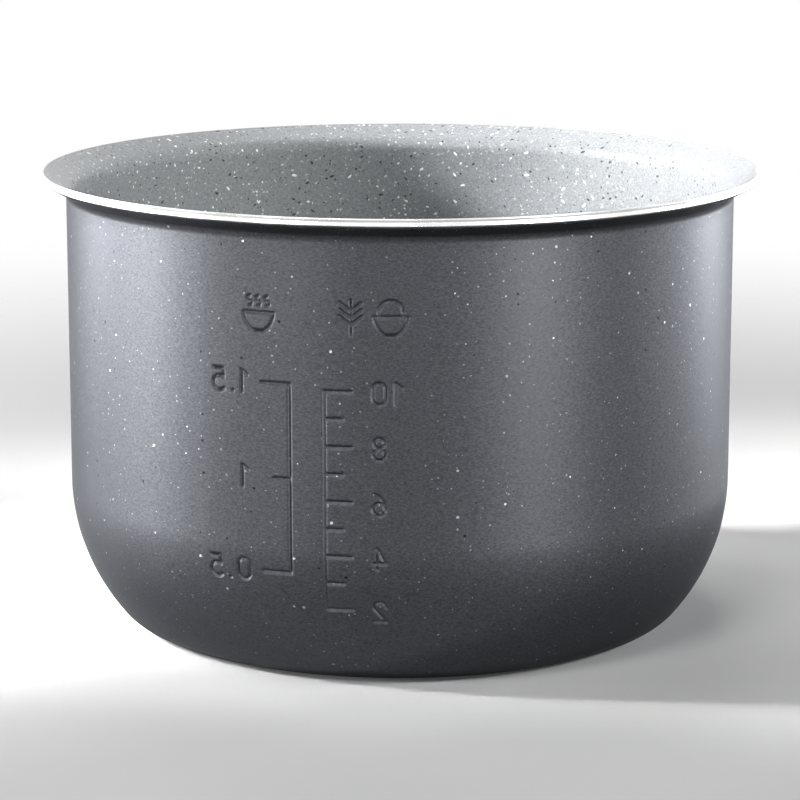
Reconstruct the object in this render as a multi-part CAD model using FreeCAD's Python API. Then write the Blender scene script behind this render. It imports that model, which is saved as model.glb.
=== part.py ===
import FreeCAD, Part
import math
import os

# Removable inner pot of a household rice cooker. It is drawn from one aluminium sheet, with a
# flared rim, a straight wall, a rounded belly and a turned base. Two fill scales are pressed into
# the wall from outside, so they are grooves outside and raised marks inside, where they are read.
# A dark flecked coat covers the outside and a pale stone-effect coat covers the inside; the edge
# of the rim and the base are bare metal.
# Sizes are millimetres. The origin is the centre of the base, +Z is up, the scales face -Y.

Vector = FreeCAD.Vector

# Pot
wall_diameter = 224.4
pot_height = 153.2
belly_radius = 67.2
belly_turn = 39.6
knuckle_radius = 15.8
flange_width = 7.8
flange_slope = 30.0
bend_radius = 2.0
sheet_thickness = 2.2
base_turning = 0.3
lip_rounding = 0.3

# Coats
coat_thickness = 0.1
bare_lip = 0.6

# Pressed marks
groove_depth = 0.5
ridge_height = 0.35
line_width = 1.3
figure_stroke = 1.05
figure_height = 8.0
figure_width = 5.0
figure_gap = 2.0
picture_size = 11.8
picture_stroke = 1.05
picture_below_rim = 31.7
scale_below_picture = 12.0

# Rice scale, one mark per cup. Its line stands this far to the left of the front, along the wall,
# and the ticks, figures and pictures stand to the right of the line. Fills are cubic millimetres.
rice_first_cup = 2
rice_fill_per_cup = 330.5e3
rice_fill_below_scale = 149.8e3
rice_line_from_front = 23.5
rice_long_tick = 8.9
rice_short_tick = 6.2
rice_figures_from_tick = 5.7
rice_figures_drop = 0.5
rice_pictures_from_line = 14.5
rice_picture_pitch = 12.4

# Porridge scale, one mark per half cup. Its line stands to the left of the rice scale's line, and
# the ticks, figures and picture stand to the left of the line.
porridge_fill_per_cup = 2284.2e3
porridge_fill_below_scale = 91.1e3
porridge_line_from_rice = 11.2
porridge_long_tick = 9.7
porridge_short_tick = 5.7
porridge_figures_from_tick = 4.0
porridge_picture_from_line = 10.2

# Derived sizes
wall_radius = wall_diameter / 2
rim_radius = wall_radius + flange_width
slope = math.radians(flange_slope)
turn_to_base = math.radians(belly_turn)
base_radius = wall_radius - belly_radius + (belly_radius - knuckle_radius) * math.cos(turn_to_base)
drawn_floor = -base_turning
knuckle_centre = drawn_floor + knuckle_radius
belly_centre = knuckle_centre + (belly_radius - knuckle_radius) * math.sin(turn_to_base)
wall_inset = coat_thickness + sheet_thickness
lining_inset = wall_inset + coat_thickness
lip_corner = pot_height + lip_rounding * (1 / math.tan((math.pi / 2 - slope) / 2) - 1)
underside_at_rim = lip_corner - wall_inset / math.cos(slope)
flange_run = flange_width - bend_radius * (1 - math.sin(slope))
bend_centre = underside_at_rim - flange_run * math.tan(slope) - bend_radius * math.cos(slope)
roof = pot_height + rim_radius / 10
picture_height = pot_height - picture_below_rim
scale_top = picture_height - picture_size / 2 - scale_below_picture
rice_line_place = -rice_line_from_front
rice_figures_place = rice_line_place + rice_long_tick + rice_figures_from_tick
rice_pictures_place = rice_line_place + rice_pictures_from_line
porridge_line_place = rice_line_place - porridge_line_from_rice
porridge_figures_place = porridge_line_place - porridge_long_tick - porridge_figures_from_tick
porridge_picture_place = porridge_line_place - porridge_picture_from_line


def profile_radius(height, inset):
    """Radius of the drawn profile at a height below the bend, moved inwards by the inset."""
    if height >= belly_centre:
        return wall_radius - inset
    belly = belly_radius - inset
    if height >= belly_centre - belly * math.sin(turn_to_base):
        drop = belly_centre - height
        return wall_radius - belly_radius + math.sqrt(belly ** 2 - drop ** 2)
    knuckle = knuckle_radius - inset
    drop = min(knuckle_centre - height, knuckle)
    return base_radius + math.sqrt(knuckle ** 2 - drop ** 2)


def fill_height(volume):
    """Height above the base at which the lined pot holds the volume."""
    step = pot_height / 2000
    height = drawn_floor + lining_inset
    held = 0.0
    while held < volume and height < bend_centre:
        held += math.pi * profile_radius(height + step / 2, lining_inset) ** 2 * step
        height += step
    return height


def bowl(inset):
    """Solid of everything inside the drawn outside surface, moved inwards by the inset."""
    knuckle = knuckle_radius - inset
    belly = belly_radius - inset
    bend = bend_radius + inset

    def arc_point(centre_radius, centre_height, radius, turn):
        return Vector(centre_radius + radius * math.cos(turn), 0, centre_height - radius * math.sin(turn))

    def bend_point(turn):
        return Vector(wall_radius + bend_radius - bend * math.cos(turn), 0, bend_centre + bend * math.sin(turn))

    floor_centre = Vector(0, 0, drawn_floor + inset)
    floor_edge = Vector(base_radius, 0, drawn_floor + inset)
    knuckle_middle = arc_point(base_radius, knuckle_centre, knuckle, (turn_to_base + math.pi / 2) / 2)
    knuckle_end = arc_point(base_radius, knuckle_centre, knuckle, turn_to_base)
    belly_middle = arc_point(wall_radius - belly_radius, belly_centre, belly, turn_to_base / 2)
    wall_foot = Vector(wall_radius - inset, 0, belly_centre)
    wall_head = Vector(wall_radius - inset, 0, bend_centre)
    bend_middle = bend_point((math.pi / 2 - slope) / 2)
    bend_end = bend_point(math.pi / 2 - slope)
    flange_end = Vector(bend_end.x + (roof - bend_end.z) / math.tan(slope), 0, roof)
    roof_centre = Vector(0, 0, roof)
    edges = [
        Part.makeLine(floor_centre, floor_edge),
        Part.Arc(floor_edge, knuckle_middle, knuckle_end).toShape(),
        Part.Arc(knuckle_end, belly_middle, wall_foot).toShape(),
        Part.makeLine(wall_foot, wall_head),
        Part.Arc(wall_head, bend_middle, bend_end).toShape(),
        Part.makeLine(bend_end, flange_end),
        Part.makeLine(flange_end, roof_centre),
        Part.makeLine(roof_centre, floor_centre),
    ]
    section = Part.Face(Part.Wire(edges))
    return section.revolve(Vector(0, 0, 0), Vector(0, 0, 1), 360)


# Marks. Each is drawn as paths of lines (two points) and arcs (three points), as read from inside.
def path_shape(path, width):
    """Flat shape of a path: a band of the width with round ends, or a ring where the path closes."""
    edges = []
    for points in path:
        corners = [Vector(x, y, 0) for x, y in points]
        if len(corners) == 2:
            edges.append(Part.makeLine(corners[0], corners[1]))
        else:
            edges.append(Part.Arc(corners[0], corners[1], corners[2]).toShape())
    if len(path) == 1 and len(path[0]) == 2:
        return bar_shape(corners[0], corners[1], width)
    wire = Part.Wire(edges)
    band = Part.Face(wire.makeOffset2D(width / 2, 0))
    if wire.isClosed():
        band = band.cut(Part.Face(wire.makeOffset2D(-width / 2, 0))).Faces[0]
    return band


def bar_shape(start, end, width):
    """Flat straight bar with round ends."""
    along = end.sub(start)
    along.normalize()
    tip = along * (width / 2)
    side = Vector(-tip.y, tip.x, 0)
    edges = [
        Part.makeLine(start.sub(side), end.sub(side)),
        Part.Arc(end.sub(side), end.add(tip), end.add(side)).toShape(),
        Part.makeLine(end.add(side), start.add(side)),
        Part.Arc(start.add(side), start.sub(tip), start.sub(side)).toShape(),
    ]
    return Part.Face(Part.Wire(edges))


def circle_path(middle, radius):
    low = (0, middle - radius)
    high = (0, middle + radius)
    return [(low, (radius, middle), high), (high, (-radius, middle), low)]


def figure_advance(figure):
    """Width of a figure along the wall."""
    if figure == "1":
        return 0.6 * figure_width
    return figure_width


def figure_paths(figure):
    """Paths of one figure about its middle, along the middle of the stroke."""
    w = (figure_width - figure_stroke) / 2
    h = (figure_height - figure_stroke) / 2
    inside = figure_stroke / 6
    if figure == "0":
        return [[
            ((-w, h - w), (0, h), (w, h - w)),
            ((w, h - w), (w, w - h)),
            ((w, w - h), (0, -h), (-w, w - h)),
            ((-w, w - h), (-w, h - w)),
        ]]
    if figure == "1":
        stem = (figure_advance("1") - figure_stroke) / 2
        return [[((stem, -h), (stem, h)), ((stem, h), (-stem, 0.55 * h))]]
    if figure == "2":
        return [[
            ((-w, h - w), (0, h), (w, h - w)),
            ((w, h - w), (-w, -h)),
            ((-w, -h), (w, -h)),
        ]]
    if figure == "3":
        return [
            [((-0.85 * w, 0.7 * h), (0.85 * w, 0.55 * h), (-0.3 * w, 0.1 * h))],
            [((-0.1 * w, 0.05 * h), (w, -0.45 * h), (-w, -0.75 * h))],
        ]
    if figure == "4":
        stem = 0.35 * w
        bar = -0.4 * h
        return [
            [((stem, -h), (stem, h)), ((stem, h), (-w, bar))],
            [((2 * inside - w, bar), (w, bar))],
        ]
    if figure == "5":
        return [[
            ((0.9 * w, h), (-0.75 * w, h)),
            ((-0.75 * w, h), (-0.9 * w, 0.15 * h)),
            ((-0.9 * w, 0.15 * h), (w, -0.35 * h), (-w, -0.85 * h)),
        ]]
    if figure == "6":
        hook_end = (inside - w, w - h)
        return [
            [((0.75 * w, 0.95 * h), (-0.6 * w, 0.3 * h), hook_end)],
            circle_path(w - h, w),
        ]
    if figure == "7":
        return [[((-w, h), (w, h)), ((w, h), (-0.3 * w, -h))]]
    if figure == "8":
        upper = 0.45 * h
        lower = 0.52 * h
        return [circle_path(h - upper, upper), circle_path(lower - h, lower)]
    turned_six = []
    for path in figure_paths("6"):
        turned_six.append([[(-x, -y) for x, y in points] for points in path])
    return turned_six


def bowl_paths(half):
    """An open bowl seen from the side."""
    rim = 0.05 * half
    return [[
        ((-0.95 * half, rim), (-0.76 * half, -0.58 * half), (-0.38 * half, -half)),
        ((-0.38 * half, -half), (0.38 * half, -half)),
        ((0.38 * half, -half), (0.76 * half, -0.58 * half), (0.95 * half, rim)),
        ((0.95 * half, rim), (-0.95 * half, rim)),
    ]]


def steam_paths(half):
    """Three wavy wisps over the bowl."""
    paths = []
    low = 0.42 * half
    high = half
    middle = (low + high) / 2
    swing = 0.12 * half
    for place in (-0.55 * half, 0, 0.55 * half):
        paths.append([
            ((place, low), (place - swing, (low + middle) / 2), (place, middle)),
            ((place, middle), (place + swing, (middle + high) / 2), (place, high)),
        ])
    return paths


def heap_paths(half):
    """A heap of rice over the bowl."""
    foot = 0.05 * half + picture_stroke / 4
    return [[((-0.7 * half, foot), (0, half), (0.7 * half, foot))]]


def ear_paths(half):
    """An ear of rice: a stem with pairs of grains."""
    paths = [[((0, -half), (0, half))]]
    for level in (-0.45, -0.05, 0.35):
        for side in (-1, 1):
            foot = (side * picture_stroke / 4, level * half)
            tip = (side * 0.62 * half, (level + 0.5) * half)
            paths.append([(foot, tip)])
    return paths


def through_wall(flat, place, height):
    """Turns a flat mark into a bar through the wall at a place along it, read from inside."""
    turn = place / wall_radius
    reach = wall_radius * 0.3
    bar = flat.extrude(Vector(0, 0, reach))
    right = Vector(-math.cos(turn), -math.sin(turn), 0)
    inward = Vector(-math.sin(turn), math.cos(turn), 0)
    start = inward * (-1.1 * wall_radius)
    bar.Placement = FreeCAD.Placement(FreeCAD.Matrix(
        right.x, 0, inward.x, start.x,
        right.y, 0, inward.y, start.y,
        0, 1, 0, height,
        0, 0, 0, 1))
    return bar


def scale_heights(first, step, fill_per_cup, fill_below):
    """Heights of a scale's marks by cups, from the first one to the last under the pictures."""
    heights = {}
    cups = first
    height = fill_height(fill_below + cups * fill_per_cup)
    while height < scale_top:
        heights[cups] = height
        cups += step
        height = fill_height(fill_below + cups * fill_per_cup)
    return heights


rice_heights = scale_heights(rice_first_cup, 1, rice_fill_per_cup, rice_fill_below_scale)
porridge_heights = scale_heights(0.5, 0.5, porridge_fill_per_cup, porridge_fill_below_scale)


def mark(paths, width, place, height):
    """One whole mark as a bar through the wall: its paths joined."""
    bars = [through_wall(path_shape(path, width), place, height) for path in paths]
    if len(bars) == 1:
        return bars
    return bars[0].multiFuse(bars[1:]).Solids


def scale_shape(ticks, direction, extra):
    """Flat comb of a scale: its upright line with a level tick of a length at each height."""
    half = (line_width + extra) / 2
    heights = sorted(ticks)
    outline = [(-half, heights[0] - half)]
    for height in heights:
        end = ticks[height] + extra / 2
        if height != heights[0]:
            outline.append((half, height - half))
        outline += [(end, height - half), (end, height + half)]
        if height != heights[-1]:
            outline.append((half, height + half))
    outline.append((-half, heights[-1] + half))
    corners = [Vector(direction * x, y, 0) for x, y in outline]
    return Part.Face(Part.makePolygon(corners + corners[:1]))


def number(text, place, direction, height, extra):
    """A number that starts at the place beside the ticks and runs away from them along the wall."""
    bars = []
    width = figure_stroke + extra
    edge = place
    for figure in text if direction < 0 else reversed(text):
        if figure == ".":
            dot = figure_stroke * 1.2
            flat = Part.Face(Part.Wire(Part.makeCircle((dot + extra) / 2)))
            level = height - figure_height / 2 + dot / 2
            bars.append(through_wall(flat, edge + direction * dot / 2, level))
            edge += direction * (dot + figure_gap)
        else:
            advance = figure_advance(figure)
            bars += mark(figure_paths(figure), width, edge + direction * advance / 2, height)
            edge += direction * (advance + figure_gap)
    return bars


def marks(extra):
    """All bars of both scales, each stroke wider by the extra."""
    half = (picture_size - picture_stroke) / 2
    stroke = picture_stroke + extra
    bars = []
    ticks = {}
    for cup, height in rice_heights.items():
        even = cup % 2 == 0
        ticks[height] = rice_long_tick if even else rice_short_tick
        if even:
            bars += number(str(cup), rice_figures_place, 1, height - rice_figures_drop, extra)
    bars.append(through_wall(scale_shape(ticks, -1, extra), rice_line_place, 0))
    ear_place = rice_pictures_place - rice_picture_pitch / 2
    heap_place = rice_pictures_place + rice_picture_pitch / 2
    bars += mark(ear_paths(half), stroke, ear_place, picture_height)
    bars += mark(bowl_paths(half) + heap_paths(half), stroke, heap_place, picture_height)
    ticks = {}
    for cups, height in porridge_heights.items():
        whole = cups == int(cups)
        ticks[height] = porridge_short_tick if whole else porridge_long_tick
        text = str(int(cups)) if whole else str(cups)
        bars += number(text, porridge_figures_place, -1, height, extra)
    bars.append(through_wall(scale_shape(ticks, 1, extra), porridge_line_place, 0))
    bars += mark(bowl_paths(half) + steam_paths(half), stroke, porridge_picture_place, picture_height)
    return bars


def marked_bowl(inset, extra, depth):
    """A bowl with the marks sunk into its surface by the depth."""
    return bowl(inset).cut(marks(extra)).fuse(bowl(inset + depth))


def turned(radius):
    """Room inside a turned edge of the radius and above the turned base."""
    return Part.makeCylinder(radius, roof)


coat_outside = marked_bowl(0, 0, groove_depth)
metal_outside = marked_bowl(coat_thickness, 2 * coat_thickness, groove_depth)
metal_inside = marked_bowl(wall_inset, 0, ridge_height)
lining_inside = marked_bowl(lining_inset, 2 * coat_thickness, ridge_height)

# Drawn aluminium pot: one sheet, its rim edge turned and rounded, its base turned flat and bare
pot_body = metal_outside.cut(metal_inside).common(turned(rim_radius))
lip_edges = []
for edge in pot_body.Edges:
    circle = edge.Curve
    if isinstance(circle, Part.Circle) and abs(circle.Radius - rim_radius) < 1e-6:
        lip_edges.append(edge)
pot_body = pot_body.makeFillet(lip_rounding, lip_edges)

# Dark flecked heat-resistant coat, sprayed on the outside from under the lip to the base
outer_coating = coat_outside.cut(metal_outside).common(turned(rim_radius - bare_lip))

# Pale stone-effect non-stick coat, sprayed on the inside and over the flange up to the lip
inner_coating = metal_inside.cut(lining_inside).common(turned(rim_radius - bare_lip))

os.makedirs("parts", exist_ok=True)
nodes = {
    "pot_body": pot_body,
    "outer_coating": outer_coating,
    "inner_coating": inner_coating,
}
for name, shape in nodes.items():
    solid = shape.Solids[0] if len(shape.Solids) == 1 else shape
    solid.exportStep("parts/" + name + ".step")
    print(name, "solids", len(shape.Solids), "valid", shape.isValid(), "volume cm3", round(shape.Volume / 1000, 2))
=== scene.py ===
import math

import bpy
import mathutils
import numpy as np
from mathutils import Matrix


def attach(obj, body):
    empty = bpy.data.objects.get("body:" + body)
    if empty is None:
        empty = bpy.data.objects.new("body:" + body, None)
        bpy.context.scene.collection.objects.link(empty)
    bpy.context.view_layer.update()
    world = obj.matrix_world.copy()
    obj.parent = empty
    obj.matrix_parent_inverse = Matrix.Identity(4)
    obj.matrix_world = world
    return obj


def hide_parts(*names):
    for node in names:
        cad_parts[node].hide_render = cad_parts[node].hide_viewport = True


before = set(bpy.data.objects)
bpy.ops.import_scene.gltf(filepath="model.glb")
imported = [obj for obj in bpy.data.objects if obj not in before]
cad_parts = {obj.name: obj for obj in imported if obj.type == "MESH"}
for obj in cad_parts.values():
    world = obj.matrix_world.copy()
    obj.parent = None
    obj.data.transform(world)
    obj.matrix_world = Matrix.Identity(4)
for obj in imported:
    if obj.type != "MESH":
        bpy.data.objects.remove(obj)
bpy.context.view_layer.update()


# Pot body: the pot itself, drawn from one aluminium sheet 2.2 mm thick, with a flared rim, a straight wall,
# a rounded belly and a level base. Both fill scales are pressed into the wall from outside. The edge of the
# rim and the base are turned bare on a lathe; the rest lies under the two coats. Sizes are in mm.
wall_radius, base_radius = 112.2, 84.604
knuckle_radius, knuckle_height, knuckle_turn = 15.8, 15.5, 39.6
belly_radius, belly_height = 67.2, 48.264
bend_radius, bend_height, flange_slope = 3.4, 144.298, 30.0
sheet_outside, sheet_inside = 0.1, 2.3
lip_radius, lip_rounding, lip_low, lip_high, lip_hollow = 120.0, 0.3, 151.053, 152.9, 0.2


def outline(along, inset, flange_end):
    """Radii and heights of the drawn outline, moved into the sheet by the inset: a row for each place along it.
    That place counts its stretches: 0 to 1 knuckle arc, 1 to 2 belly arc, 2 to 3 straight wall, 3 to 4 bend
    arc, 4 to 5 sloping flange up to a radius. An arc keeps its centre, and the inset shortens the radius of the
    knuckle and the belly and lengthens that of the bend."""
    along, inset = np.broadcast_arrays(np.reshape(along, (-1, 1)), inset)
    stretch = np.minimum(np.floor(along), 4)
    share = along - stretch
    belly_axis = wall_radius - belly_radius
    bend_axis = wall_radius + bend_radius
    knuckle, belly, bend = knuckle_radius - inset, belly_radius - inset, bend_radius + inset
    low_turn = np.radians(90 - (90 - knuckle_turn) * share)
    high_turn = np.radians(knuckle_turn * (1 - share))
    rim_turn = np.radians((90 - flange_slope) * share)
    flange_foot = bend_axis - bend * math.sin(math.radians(flange_slope))
    flange_run = (flange_end - flange_foot) * share
    flange_base = bend_height + bend * math.cos(math.radians(flange_slope))
    stretches = [stretch == number for number in range(5)]
    radius = np.select(stretches, [
        base_radius + knuckle * np.cos(low_turn),
        belly_axis + belly * np.cos(high_turn),
        wall_radius - inset,
        bend_axis - bend * np.cos(rim_turn),
        flange_foot + flange_run,
    ])
    height = np.select(stretches, [
        knuckle_height - knuckle * np.sin(low_turn),
        belly_height - belly * np.sin(high_turn),
        belly_height + (bend_height - belly_height) * share,
        bend_height + bend * np.sin(rim_turn),
        flange_base + flange_run * math.tan(math.radians(flange_slope)),
    ])
    return radius, height


def along_at(height):
    """Place along the outline of a height on the belly or the wall: the turn of the belly arc whose sine is
    the drop over its radius, or the share of the wall's length."""
    drop = np.clip((belly_height - height) / belly_radius, 0, 1)
    on_belly = 2 - np.degrees(np.arcsin(drop)) / knuckle_turn
    return np.where(height < belly_height, on_belly, 2 + (height - belly_height) / (bend_height - belly_height))


def foot_along(inset):
    """Place along the knuckle arc, moved in by the inset, at the level of the base: the turn whose sine is the
    height of the arc's centre over its radius."""
    turn = math.degrees(math.asin(knuckle_height / (knuckle_radius - inset)))
    return 1 - (turn - knuckle_turn) / (90 - knuckle_turn)


def graded(*stretches):
    """Grid lines over stretches given as start, end and step; each stretch has an even spacing."""
    return np.concatenate([
        np.linspace(start, end, max(round((end - start) / step), 1), endpoint=False)
        for start, end, step in stretches
    ])


def wall_lines(step):
    """Grid over the pot: places round the wall (mm to the right of the front, at the wall's radius) and
    heights up the belly and the wall, a step apart where the scales are pressed in and wider elsewhere."""
    round_wall = 2 * math.pi * wall_radius
    places = graded((-65.2, -33.0, step), (-33.0, -25.4, 1.9), (-25.4, 4.4, step), (4.4, round_wall - 65.2, 6.6))
    heights = graded((5.6, 22.0, 2.4), (22.0, 33.0, step), (33.0, 34.2, 1.2), (34.2, 51.0, step),
                     (51.0, 52.6, 1.6), (52.6, 56.6, step), (56.6, 57.8, 1.2), (57.8, 86.0, step),
                     (86.0, 87.5, 1.5), (87.5, 91.5, step), (91.5, 92.7, 1.2), (92.7, 105.0, step),
                     (105.0, 114.6, 3.2), (114.6, 128.6, step), (128.6, 144.2, 3.7))
    return places, heights


def arc(start, middle, end):
    """Thirteen points of the circle through three points, which are complex numbers: the centre follows from
    the ratio of the two chords, and the first point is turned round it from the start to the end."""
    ratio = (end - start) / (middle - start)
    centre = start + (middle - start) * (ratio - abs(ratio) ** 2) / (2j * ratio.imag)
    sweep = np.angle((middle - centre) / (start - centre)) + np.angle((end - centre) / (middle - centre))
    return centre + (start - centre) * np.exp(1j * sweep * np.linspace(0, 1, 13))


def stroke(*pieces):
    """One pressed line as complex points x + iy: each piece is a straight run of points or an arc's points."""
    return np.concatenate([np.atleast_1d(np.array(piece, complex)) for piece in pieces])


# Figures of the scales, each about its middle, x to the right as read from inside the pot
half_wide, half_tall = 1.975, 3.475
w, h = half_wide, 1j * half_tall
waist = 1j * (half_tall - half_wide)
ring = np.exp(2j * np.pi * np.linspace(0, 1, 33))
figures = {
    "0": [stroke(arc(-w + waist, h, w + waist), arc(w - waist, -h, -w - waist), [-w + waist])],
    "1": [stroke([0.975 - h, 0.975 + h, -0.975 + 0.55 * h])],
    "2": [stroke(arc(-w + waist, h, w + waist), [-w - h, w - h])],
    "4": [stroke([0.35 * w - h, 0.35 * w + h, -w - 0.4 * h]), stroke([0.35 - w - 0.4 * h, w - 0.4 * h])],
    "5": [stroke([0.9 * w + h, -0.75 * w + h], arc(-0.9 * w + 0.15 * h, w - 0.35 * h, -w - 0.85 * h))],
    "6": [stroke(arc(0.75 * w + 0.95 * h, -0.6 * w + 0.3 * h, 0.175 - w - waist)), w * ring - waist],
    "8": [0.45 * half_tall * ring + 0.55 * h, 0.52 * half_tall * ring - 0.48 * h],
    ".": [stroke([-0.05, 0.05])],
}
figure_width, narrow_figures, figure_gap, dot_drop = 5.0, {"1": 3.0, ".": 1.26}, 2.0, 3.37

# Pictures over the scales, in half sizes: a bowl, its steam, a heap of rice in it, and an ear of rice
picture_half = 5.375
bowl = stroke(arc(-0.95 + 0.05j, -0.76 - 0.58j, -0.38 - 1j), arc(0.38 - 1j, 0.76 - 0.58j, 0.95 + 0.05j),
              [-0.95 + 0.05j])
wave = stroke(arc(0.42j, -0.12 + 0.565j, 0.71j), arc(0.71j, 0.12 + 0.855j, 1j))
steam = [wave + side for side in (-0.55, 0, 0.55)]
heap = stroke(arc(-0.7 + 0.1j, 1j, 0.7 + 0.1j))
grains = [stroke([1j * level, 0.62 * side + 1j * (level + 0.5)])
          for level in (-0.45, -0.05, 0.35) for side in (-1, 1)]
ear = [stroke([-1j, 1j])] + grains

# Places of both scales on the wall, to the right of the front: each line with its ticks, the figures beside
# the ticks and the pictures on top. The heights are those of the fills that the marks stand for.
rice_line, rice_figures, rice_long, rice_short, rice_figure_drop = -23.5, -8.9, 8.4, 5.7, 0.5
porridge_line, porridge_figures, porridge_long, porridge_short = -34.7, -48.4, 9.2, 5.2
ear_place, heap_place, steam_place, picture_height = -15.2, -2.8, -44.9, 121.5
line_half, figure_half = 0.65, 0.525
rice_heights = dict(zip(range(2, 11), (27.99, 37.03, 45.84, 54.57, 63.30, 72.04, 80.77, 89.50, 98.23)))
porridge_heights = {0.5: 39.56, 1: 69.74, 1.5: 99.84}
marks = [
    (rice_line + 1j * stroke([rice_heights[2], rice_heights[10]]), line_half),
    (porridge_line + 1j * stroke([porridge_heights[0.5], porridge_heights[1.5]]), line_half),
]
numbers = []
for cups, level in rice_heights.items():
    tick = rice_short if cups % 2 else rice_long
    marks.append((rice_line + 1j * level + stroke([0, tick]), line_half))
    if cups % 2 == 0:
        numbers.append((str(cups)[::-1], rice_figures, 1, level - rice_figure_drop))
for cups, level in porridge_heights.items():
    tick = porridge_short if cups == 1 else porridge_long
    marks.append((porridge_line + 1j * level - stroke([0, tick]), line_half))
    numbers.append((str(cups), porridge_figures, -1, level))
for text, edge, direction, level in numbers:
    for figure in text:
        wide = narrow_figures.get(figure, figure_width)
        middle = edge + direction * wide / 2 + 1j * (level - dot_drop * (figure == "."))
        marks += [(middle - path.conj(), figure_half) for path in figures[figure]]
        edge += direction * (wide + figure_gap)
for paths, place in ((ear, ear_place), ([bowl, heap], heap_place), ([bowl] + steam, steam_place)):
    marks += [(place + 1j * picture_height - picture_half * path.conj(), figure_half) for path in paths]


def pressed(places, heights, spread):
    """Share of the full depth to which the scales are pressed in at each height and place: half a cosine wave
    of the distance to the nearest stroke, 1 on its middle line and 0 at its half width plus the spread."""
    grid = places[None, :] + 1j * heights[:, None]
    share = np.zeros(grid.shape)
    shortest = 1e-12
    for path, half_width in marks:
        reach = half_width + spread
        rows = np.flatnonzero((heights > path.imag.min() - reach) & (heights < path.imag.max() + reach))
        columns = np.flatnonzero((places > path.real.min() - reach) & (places < path.real.max() + reach))
        window = np.ix_(rows, columns)
        run = np.diff(path)
        from_start = grid[window][..., None] - path[:-1]
        shadow = np.clip((from_start * run.conj()).real / np.maximum(abs(run) ** 2, shortest), 0, 1)
        distance = abs(from_start - shadow * run).min(axis=-1)
        bell = 0.5 + 0.5 * np.cos(np.pi * np.minimum(distance / reach, 1))
        share[window] = np.maximum(share[window], bell)
    return share


def turned_piece(name, bands, places, start_pole=None, end_pole=None):
    """Mesh of a turned form: each band gives the radii and the heights of its rings, which are carried round
    the axis by the place over the wall's radius. The last column joins the first, and a pole, which is a height
    on the axis, closes the first or the last ring."""
    radius, height = (
        np.vstack([np.broadcast_to(rows, (len(rows), len(places))) for rows in side]) for side in zip(*bands)
    )
    turn = places / wall_radius
    points = np.stack((radius * np.sin(turn), -radius * np.cos(turn), height), axis=-1).reshape(-1, 3)
    corner = np.arange(radius.size).reshape(radius.shape)
    right = np.roll(corner, -1, axis=1)
    faces = np.stack((corner[:-1], right[:-1], right[1:], corner[1:]), axis=-1).reshape(-1, 4).tolist()
    for pole, first, second in ((start_pole, right[0], corner[0]), (end_pole, corner[-1], right[-1])):
        if pole is not None:
            faces += np.stack((first, second, np.full(len(places), len(points))), axis=-1).tolist()
            points = np.vstack((points, (0, 0, pole)))
    mesh = bpy.data.meshes.new(name)
    mesh.from_pydata(points / 1000, [], faces)
    mesh.shade_smooth()
    mesh.set_sharp_from_angle(angle=math.radians(60))
    piece = bpy.data.objects.new(name, mesh)
    bpy.context.scene.collection.objects.link(piece)
    return piece


# Both faces of the sheet. Under the coats the marks are pressed wider and deeper outside and stand up less
# inside, so that the sheet shows through neither coat. Outside, the lowest row is moved up to the base.
body_step = 0.62
hollow_depth, hollow_steepness, hollow_spread = 0.75, 1.6, 1.1
raised_height, raised_spread = 0.22, -0.1
places, heights = wall_lines(body_step)
knuckle_rows = np.linspace(0, 1, 13)
body_along = np.concatenate((knuckle_rows, along_at(heights), np.linspace(3, 4, 7), (4.3, 4.6, 4.8, 5)))
on_wall = slice(len(knuckle_rows), len(knuckle_rows) + len(heights))
hollow, raised = np.zeros((2, len(body_along), len(places)))
hollow[on_wall] = hollow_depth * np.clip(hollow_steepness * pressed(places, heights, hollow_spread), 0, 1)
raised[on_wall] = raised_height * pressed(places, heights, raised_spread)
foot = foot_along(sheet_outside)
from_foot = slice(np.count_nonzero(body_along < foot) - 1, None)
outside = outline(np.maximum(body_along, foot)[from_foot], (sheet_outside + hollow)[from_foot],
                  lip_radius - lip_rounding / 2)
inside = outline(body_along[::-1], (sheet_inside + raised)[::-1], lip_radius - 1.5 * lip_rounding)

# The lip between them, with its lower rounding, its hollow turned face and its upper rounding; then the rings
# of the level base and of the level floor inside
low_turn = np.radians(np.linspace(flange_slope - 90, 0, 5)[1:])
high_turn = np.radians(np.linspace(0, flange_slope + 90, 9)[:-1])
face = np.linspace(0, 1, 11)[1:-1]
rounding_axis = lip_radius - lip_rounding
lip_radii = np.concatenate((rounding_axis + lip_rounding * np.cos(low_turn),
                            lip_radius - lip_hollow * np.sin(np.pi * face) ** 2,
                            rounding_axis + lip_rounding * np.cos(high_turn)))
lip_heights = np.concatenate((lip_low + lip_rounding * np.sin(low_turn),
                              lip_low + (lip_high - lip_low) * face,
                              lip_high + lip_rounding * np.sin(high_turn)))
lip = lip_radii[:, None], lip_heights[:, None]
base_rings = np.array([[12.0], [30.0], [50.0], [70.0], [84.0]])
base = base_rings, 0 * base_rings
floor_level = inside[1][-1, 0]
pot_floor = np.array([[45.0]]), np.array([[floor_level]])
pot_body = turned_piece("pot_body_drawn", (base, outside, lip, inside, pot_floor), places,
                        start_pole=0.0, end_pole=floor_level)


def add(tree, kind, inputs=(), **settings):
    """Adds a node, sets its options, and gives each named input a value or another node's output."""
    node = tree.nodes.new(kind)
    for key, value in settings.items():
        setattr(node, key, value)
    for key, value in dict(inputs).items():
        if isinstance(value, bpy.types.NodeSocket):
            tree.links.new(value, node.inputs[key])
        else:
            node.inputs[key].default_value = value
    return node


def blank(name):
    """An empty material, its node tree and its Object coordinates."""
    material = bpy.data.materials.new(name)
    material.use_nodes = True
    tree = material.node_tree
    tree.nodes.clear()
    return material, tree, add(tree, "ShaderNodeTexCoord").outputs["Object"]


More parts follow.
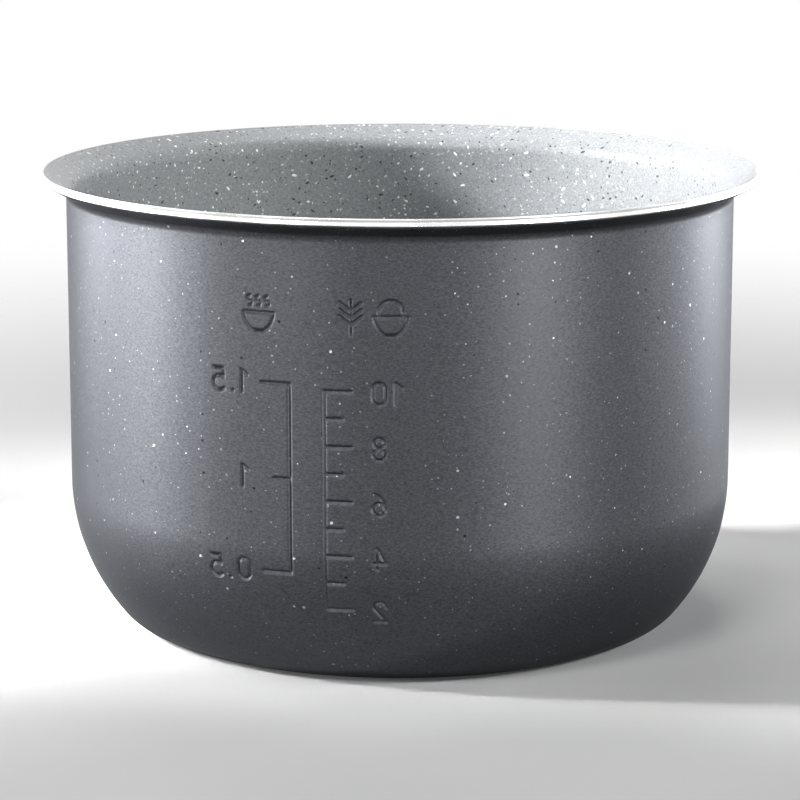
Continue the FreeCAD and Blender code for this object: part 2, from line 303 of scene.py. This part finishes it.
def shade(tree, inputs):
    """Ends a material with a Principled shader that has these inputs."""
    shader = add(tree, "ShaderNodeBsdfPrincipled", inputs)
    add(tree, "ShaderNodeOutputMaterial", {"Surface": shader.outputs["BSDF"]})


def vectors(tree, operation, first, second=(0, 0, 0), result="Vector"):
    """Vector, or Value, that an operation makes of one or two vectors."""
    return add(tree, "ShaderNodeVectorMath", {0: first, 1: second}, operation=operation).outputs[result]


def noise(tree, spot, scale, detail, roughness=0.5, result="Fac"):
    """Value, or Color, of a noise at a spot; each of its details is finer and fainter by the roughness."""
    inputs = {"Vector": spot, "Scale": scale, "Detail": detail, "Roughness": roughness}
    return add(tree, "ShaderNodeTexNoise", inputs).outputs[result]


def ranged(tree, value, low, high, to_low, to_high, **settings):
    """Change of a value from one range to another, straight unless set otherwise, kept within the second."""
    limits = {"Value": value, "From Min": low, "From Max": high, "To Min": to_low, "To Max": to_high}
    return add(tree, "ShaderNodeMapRange", limits, **settings).outputs["Result"]


def mixed(tree, mask, under, over):
    """Colour that goes from the one under to the one over it as the mask goes from 0 to 1. The node's sockets
    for the mask and for colours have these numbers, because their names repeat."""
    mask_socket, under_socket, over_socket, colour_socket = 0, 6, 7, 2
    inputs = {mask_socket: mask, under_socket: under, over_socket: over}
    return add(tree, "ShaderNodeMix", inputs, data_type="RGBA").outputs[colour_socket]


def uneven(tree, height, strength, depth):
    """Normal of a surface that rises with the height, by a depth in metres."""
    inputs = {"Height": height, "Strength": strength, "Distance": depth}
    return add(tree, "ShaderNodeBump", inputs).outputs["Normal"]


# Bright turned aluminium: fine lathe rings that follow the radius and the height, and faint handling marks
aluminium, tree, spot = blank("turned_aluminium")
radius = vectors(tree, "LENGTH", vectors(tree, "MULTIPLY", spot, (1, 1, 0)), result="Value")
level = add(tree, "ShaderNodeSeparateXYZ", {"Vector": spot}).outputs["Z"]
cut = add(tree, "ShaderNodeCombineXYZ", {"X": radius, "Y": level}).outputs["Vector"]
lathe = noise(tree, cut, 900.0, 5.0, 0.7)
smudge = noise(tree, spot, 60.0, 4.0)
dull_ring, bright_ring = (0.70, 0.70, 0.70, 1), (0.94, 0.94, 0.94, 1)
shade(tree, {
    "Base Color": mixed(tree, ranged(tree, lathe, 0.3, 0.7, 0, 1), dull_ring, bright_ring),
    "Metallic": 1.0,
    "Roughness": ranged(tree, smudge, 0.3, 0.7, 0.2, 0.34),
    "Normal": uneven(tree, lathe, 0.35, 0.00008),
})

pot_body.data.materials.append(aluminium)
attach(pot_body, "root")
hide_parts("pot_body")


# Outer coat: a dark metallic heat-resistant enamel with sparse pale flecks, sprayed on the outside from under
# the lip down to the turned base and baked. It follows the pressed scales and ends in a thin square edge.
outer_depth, coat_spread, coat_step = 0.64, 0.22, 0.35
coat_end, flange_edge = 119.4, 5.0
places, heights = wall_lines(coat_step)
knuckle_rows = np.linspace(0, 1, 15)
coat_along = np.concatenate((knuckle_rows, along_at(heights), np.linspace(3, 4, 9), (4.25, 4.5, 4.75, flange_edge)))
on_wall = slice(len(knuckle_rows), len(knuckle_rows) + len(heights))
mark_share = np.zeros((len(coat_along), len(places)))
mark_share[on_wall] = pressed(places, heights, coat_spread)
foot = foot_along(0)
from_foot = slice(np.count_nonzero(coat_along < foot) - 1, None)
low_edge = outline(foot_along(sheet_outside), sheet_outside, coat_end)
skin = outline(np.maximum(coat_along, foot)[from_foot], outer_depth * mark_share[from_foot], coat_end)
high_edge = outline(flange_edge, sheet_outside, coat_end)
outer_coat = turned_piece("outer_coat_sprayed", (low_edge, skin, high_edge), places)


def maths(tree, operation, first, second):
    """Value that an operation makes of two values."""
    return add(tree, "ShaderNodeMath", {0: first, 1: second}, operation=operation).outputs["Value"]


def scaled(tree, vector, factor):
    """A vector made longer by a factor."""
    return add(tree, "ShaderNodeVectorMath", {0: vector, "Scale": factor}, operation="SCALE").outputs["Vector"]


def group(name, inputs, outputs):
    """A shader node group with named inputs, a number each or a vector where None is given, and number outputs."""
    tree = bpy.data.node_groups.new(name, "ShaderNodeTree")
    for key, value in inputs.items():
        kind = "NodeSocketVector" if value is None else "NodeSocketFloat"
        socket = tree.interface.new_socket(key, in_out="INPUT", socket_type=kind)
        if value is not None:
            socket.default_value = value
    for key in outputs:
        tree.interface.new_socket(key, in_out="OUTPUT", socket_type="NodeSocketFloat")
    return tree, add(tree, "NodeGroupInput").outputs, add(tree, "NodeGroupOutput").inputs


def placed(tree, shared, **inputs):
    """Outputs of a shared node group that is placed in a material with its own values."""
    return add(tree, "ShaderNodeGroup", inputs, node_tree=shared).outputs


# Flecks: chips of another colour in a coat, with sizes in mm. Space is cut into cells with a point in each, and
# a share of the cells has a chip. Its ragged edge is where a wavering distance to the point passes its own size;
# the distance counts less along an axis of the cell's own, which draws the chip out that way.
flecks, given, result = group(
    "coat_flecks", {"Vector": None, "Spacing": 4.0, "Share": 0.5, "Size": 0.4, "Ragged": 0.3, "Length": 0.3},
    ("Mask", "Tone"))
middle_grey, smallest_chip, largest_chip, sharp_core = (0.5, 0.5, 0.5), 0.45, 1.7, 0.75
spot = scaled(flecks, given["Vector"], 1000.0)
ragged = vectors(flecks, "SUBTRACT", noise(flecks, spot, 1.5, 1.0, result="Color"), middle_grey)
wavered = vectors(flecks, "ADD", spot, scaled(flecks, ragged, given["Ragged"]))
cells = maths(flecks, "DIVIDE", 1.0, given["Spacing"])
chip = add(flecks, "ShaderNodeTexVoronoi", {"Vector": wavered, "Scale": cells}).outputs
offset = vectors(flecks, "SUBTRACT", wavered, chip["Position"])
axis = vectors(flecks, "NORMALIZE", vectors(flecks, "SUBTRACT", chip["Color"], middle_grey))
along_axis = vectors(flecks, "DOT_PRODUCT", offset, axis, "Value")
spared = maths(flecks, "MULTIPLY", maths(flecks, "POWER", along_axis, 2.0), given["Length"])
square = vectors(flecks, "DOT_PRODUCT", offset, offset, "Value")
from_point = maths(flecks, "POWER", maths(flecks, "SUBTRACT", square, spared), 0.5)
draw = add(flecks, "ShaderNodeSeparateColor", {"Color": chip["Color"]}).outputs
size = ranged(flecks, maths(flecks, "POWER", draw["Red"], 2.0), 0, 1, smallest_chip, largest_chip)
own_size = maths(flecks, "MULTIPLY", size, given["Size"])
in_chip = ranged(flecks, from_point, maths(flecks, "MULTIPLY", own_size, sharp_core), own_size, 1, 0)
picked = maths(flecks, "LESS_THAN", draw["Green"], given["Share"])
flecks.links.new(maths(flecks, "MULTIPLY", in_chip, picked), result["Mask"])
flecks.links.new(draw["Blue"], result["Tone"])

# Grain: the fine mottling of a sprayed coat, drawn out level by the turning of the pot under the spray gun
grain, given, result = group("spray_grain", {"Vector": None, "Fineness": 1.0, "Level": 2.2}, ("Tone", "Height"))
drawn_out = add(grain, "ShaderNodeCombineXYZ", {"X": 1.0, "Y": 1.0, "Z": given["Level"]}).outputs["Vector"]
laid = vectors(grain, "MULTIPLY", scaled(grain, given["Vector"], 1000.0), drawn_out)
mottle = noise(grain, laid, given["Fineness"], 4.0, 0.7)
grain.links.new(ranged(grain, mottle, 0.25, 0.75, 0, 1), result["Tone"])
grain.links.new(mottle, result["Height"])

# Dark enamel: mottled grey with a few black flecks, many faint ones and bright ones of unlike strength
enamel, tree, spot = blank("dark_flecked_enamel")
texture = placed(tree, grain, Vector=spot, Fineness=1.0, Level=2.0)
bright = placed(tree, flecks, Vector=spot, Spacing=3.0, Share=0.3, Size=0.29, Ragged=0.4, Length=0.4)
faint = placed(tree, flecks, Vector=spot, Spacing=2.0, Share=0.75, Size=0.22, Ragged=0.3, Length=0.2)
black = placed(tree, flecks, Vector=spot, Spacing=4.1, Share=0.35, Size=0.34, Ragged=0.4, Length=0.3)
glint = maths(tree, "MULTIPLY", bright["Mask"], ranged(tree, bright["Tone"], 0, 1, 0.1, 0.7))
colour = mixed(tree, texture["Tone"], (0.0316, 0.0329, 0.0368, 1), (0.0962, 0.1003, 0.1105, 1))
colour = mixed(tree, maths(tree, "MULTIPLY", black["Mask"], 0.9), colour, (0.01, 0.01, 0.011, 1))
colour = mixed(tree, maths(tree, "MULTIPLY", faint["Mask"], 0.26), colour, (0.60, 0.61, 0.63, 1))
colour = mixed(tree, glint, colour, (0.80, 0.81, 0.83, 1))
shade(tree, {
    "Base Color": colour,
    "Metallic": 1.0,
    "Roughness": ranged(tree, texture["Tone"], 0, 1, 0.42, 0.52),
    "Specular Tint": (0.5, 0.5, 0.5, 1),
    "Normal": uneven(tree, texture["Height"], 0.3, 0.00005),
})

outer_coat.data.materials.append(enamel)
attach(outer_coat, "root")
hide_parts("outer_coating")


# Inner coat: a pale grey non-stick coat with white and black chips, which looks like stone, sprayed on the
# inside and over the flange up to the bare lip. The pressed scales stand up in it, where the cook reads them.
inner_height, lining_inset = 0.35, 2.4
high_edge = outline(flange_edge, sheet_inside, coat_end)
skin = outline(coat_along[::-1], (lining_inset + inner_height * mark_share)[::-1], coat_end)
floor_level = skin[1][-1, 0]
floor_rings = np.array([[72.0], [50.0], [28.0], [10.0]])
coat_floor = floor_rings, np.full(floor_rings.shape, floor_level)
inner_coat = turned_piece("inner_coat_sprayed", (high_edge, skin, coat_floor), places, end_pole=floor_level)

# Stone effect: mottled grey with fine white chips of unlike strength, larger white chips and black ones
stone, tree, spot = blank("pale_stone_coat")
texture = placed(tree, grain, Vector=spot, Fineness=1.2, Level=1.2)
pale = placed(tree, flecks, Vector=spot, Spacing=2.6, Share=0.6, Size=0.32, Ragged=0.6, Length=0.85)
pale_fine = placed(tree, flecks, Vector=spot, Spacing=1.8, Share=1.0, Size=0.28, Ragged=0.4, Length=0.75)
dark = placed(tree, flecks, Vector=spot, Spacing=2.3, Share=0.95, Size=0.31, Ragged=0.6, Length=0.8)
faded = maths(tree, "MULTIPLY", pale_fine["Mask"], ranged(tree, pale_fine["Tone"], 0, 1, 0.1, 0.8))
colour = mixed(tree, texture["Tone"], (0.124, 0.130, 0.136, 1), (0.345, 0.359, 0.372, 1))
colour = mixed(tree, faded, colour, (0.85, 0.85, 0.85, 1))
colour = mixed(tree, pale["Mask"], colour, (0.93, 0.93, 0.93, 1))
colour = mixed(tree, dark["Mask"], colour, (0.03, 0.03, 0.032, 1))
shade(tree, {
    "Base Color": colour,
    "Roughness": ranged(tree, texture["Tone"], 0, 1, 0.28, 0.38),
    "Normal": uneven(tree, texture["Height"], 0.25, 0.00005),
})

inner_coat.data.materials.append(stone)
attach(inner_coat, "root")
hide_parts("inner_coating")


# Studio: a plain pale floor that fades into a white surround, soft lamps round the pot and above it, and the
# camera at the photograph's angle. Sizes are in metres.
floor_radius, floor_corners, fade_start, fade_end = 0.9, 96, 0.3, 0.85
edge = floor_radius * np.exp(2j * np.pi * np.arange(floor_corners) / floor_corners)
floor_mesh = bpy.data.meshes.new("studio_floor")
floor_mesh.from_pydata(np.stack((edge.real, edge.imag, 0 * edge.real), axis=-1), [], [list(range(floor_corners))])
floor = bpy.data.objects.new("studio_floor", floor_mesh)
bpy.context.scene.collection.objects.link(floor)
paper, tree, spot = blank("pale_paper")
from_pot = vectors(tree, "LENGTH", spot, result="Value")
shade(tree, {
    "Base Color": (0.8, 0.8, 0.8, 1),
    "Roughness": 0.9,
    "Specular IOR Level": 0.0,
    "Alpha": ranged(tree, from_pot, fade_start, fade_end, 1, 0, interpolation_type="SMOOTHSTEP"),
})
floor.data.materials.append(paper)

# White surround for what the camera sees, straight or mirrored, which gives only a little light
surround_light, surround_white = 0.04, 1.0
world = bpy.data.worlds.new("studio_surround")
bpy.context.scene.world = world
world.use_nodes = True
tree = world.node_tree
tree.nodes.clear()
ray = add(tree, "ShaderNodeLightPath").outputs
seen = maths(tree, "MAXIMUM", ray["Is Camera Ray"], ray["Is Glossy Ray"])
seen = maths(tree, "MAXIMUM", seen, ray["Is Transmission Ray"])
strength = ranged(tree, seen, 0, 1, surround_light, surround_white)
sky = add(tree, "ShaderNodeBackground", {"Color": (1, 1, 1, 1), "Strength": strength})
add(tree, "ShaderNodeOutputWorld", {"Surface": sky.outputs["Background"]})


def lamp(name, turn, far, level, width, tall, power, spread=180, aim=(0, 0, 0.1), glint=True):
    """A soft panel at a turn in degrees from the front towards the right, a distance and a level, which faces
    its aim. Its light keeps within the spread in degrees, and a panel without glint isn't mirrored."""
    light = bpy.data.lights.new(name, "AREA")
    light.shape = "RECTANGLE"
    light.size, light.size_y, light.energy, light.spread = width, tall, power, math.radians(spread)
    panel = bpy.data.objects.new(name, light)
    panel.location = (far * math.sin(math.radians(turn)), -far * math.cos(math.radians(turn)), level)
    panel.rotation_euler = (mathutils.Vector(aim) - panel.location).to_track_quat("-Z", "Y").to_euler()
    panel.visible_glossy = glint
    bpy.context.scene.collection.objects.link(panel)


# Low panels round the pot, which give its wall the bright and dark bands
lamp("left_back_panel", -117, 1.3, 0.06, 0.25, 0.1, 15.5)
lamp("left_panel", -88, 1.3, 0.06, 0.3, 0.1, 16)
lamp("left_front_panel", -66, 1.4, 0.06, 0.25, 0.1, 2.4)
lamp("front_panel", -36, 1.6, 0.06, 0.4, 0.1, 4.2)
lamp("near_panel", 2, 1.7, 0.06, 0.3, 0.1, 1.2)
lamp("right_front_panel", 44, 1.5, 0.06, 0.35, 0.1, 9.4)
lamp("right_panel", 92, 1.4, 0.06, 0.3, 0.1, 2.4)
lamp("right_back_panel", 123, 1.3, 0.06, 0.25, 0.1, 19)

# High panels for the flange, the inside, the upper edges of the marks and the floor
lamp("high_left_panel", -120, 1.2, 0.5, 0.4, 0.4, 4.5)
lamp("overhead_panel", 180, 0.5, 1.4, 0.6, 0.6, 5.6, glint=False)
lamp("back_panel", -170, 1.0, 0.9, 0.7, 0.6, 0.7)
lamp("front_top_panel", -24, 1.15, 1.2, 0.6, 0.3, 6)

# Narrow beams for the right and the left of the inside, and for the floor that the left of the belly mirrors
lamp("pot_beam", -93, 0.9, 0.52, 0.3, 0.3, 1.24, spread=18, aim=(0.06, 0.07, 0.125), glint=False)
lamp("pot_fill", 72, 0.9, 0.6, 0.3, 0.3, 0.3, spread=20, aim=(-0.09, 0.03, 0.12), glint=False)
lamp("floor_beam", -90, 0.9, 0.6, 0.1, 0.1, 0.32, spread=12, aim=(-0.19, 0.01, 0.0), glint=False)

lens = bpy.data.cameras.new("photo_view")
lens.lens, lens.sensor_width, lens.sensor_fit = 145.04, 36.0, "HORIZONTAL"
camera = bpy.data.objects.new("photo_view", lens)
camera.location = (0, -1.080, 0.29804)
camera.rotation_euler = (math.radians(78.21), 0, 0)
bpy.context.scene.collection.objects.link(camera)
bpy.context.scene.camera = camera
bpy.context.scene.view_settings.view_transform = "Standard"
